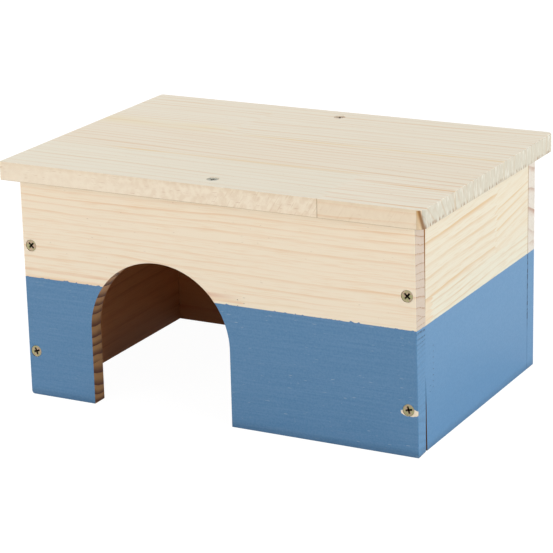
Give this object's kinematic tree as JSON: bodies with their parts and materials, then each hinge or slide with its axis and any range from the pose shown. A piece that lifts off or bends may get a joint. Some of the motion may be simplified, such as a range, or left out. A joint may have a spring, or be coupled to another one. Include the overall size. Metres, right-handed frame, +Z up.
{
  "type": "guinea pig house",
  "caption": "Small bottomless wooden house with an arched doorway in its front and a flat overhanging roof, bare pine above and blue paint below, screwed at the corners.",
  "frame": {"origin": "on the ground, in the middle of the house's footprint", "axes": "+X runs along the front to the right, +Y from the front to the back, +Z up"},
  "size_m": [0.28, 0.193, 0.15],
  "materials": {
    "bare_pine": "sanded, unfinished",
    "blue_pine": "satin blue paint",
    "zinc_screw": "yellow zinc plating"
  },
  "bodies": {
    "root": {"back_screw_1": "zinc_screw", "back_screw_2": "zinc_screw", "back_screw_3": "zinc_screw", "back_screw_4": "zinc_screw", "back_stave_1": "blue_pine", "back_stave_2": "blue_pine", "back_stave_3": "bare_pine", "front_screw_1": "zinc_screw", "front_screw_2": "zinc_screw", "front_screw_3": "zinc_screw", "front_screw_4": "zinc_screw", "front_stave_1_left": "blue_pine", "front_stave_1_right": "blue_pine", "front_stave_2_centre": "blue_pine", "front_stave_2_left": "blue_pine", "front_stave_2_right": "blue_pine", "front_stave_3": "bare_pine", "left_stave_1": "blue_pine", "left_stave_2": "blue_pine", "left_stave_3": "bare_pine", "right_stave_1": "blue_pine", "right_stave_2_front": "blue_pine", "right_stave_2_rear": "blue_pine", "right_stave_3_front": "bare_pine", "right_stave_3_rear": "bare_pine", "roof_screw_1": "zinc_screw", "roof_screw_2": "zinc_screw", "roof_stave_1_left": "bare_pine", "roof_stave_1_right": "bare_pine", "roof_stave_2": "bare_pine", "roof_stave_3_left": "bare_pine", "roof_stave_3_right": "bare_pine", "roof_stave_4": "bare_pine"}
  },
  "joints": []
}
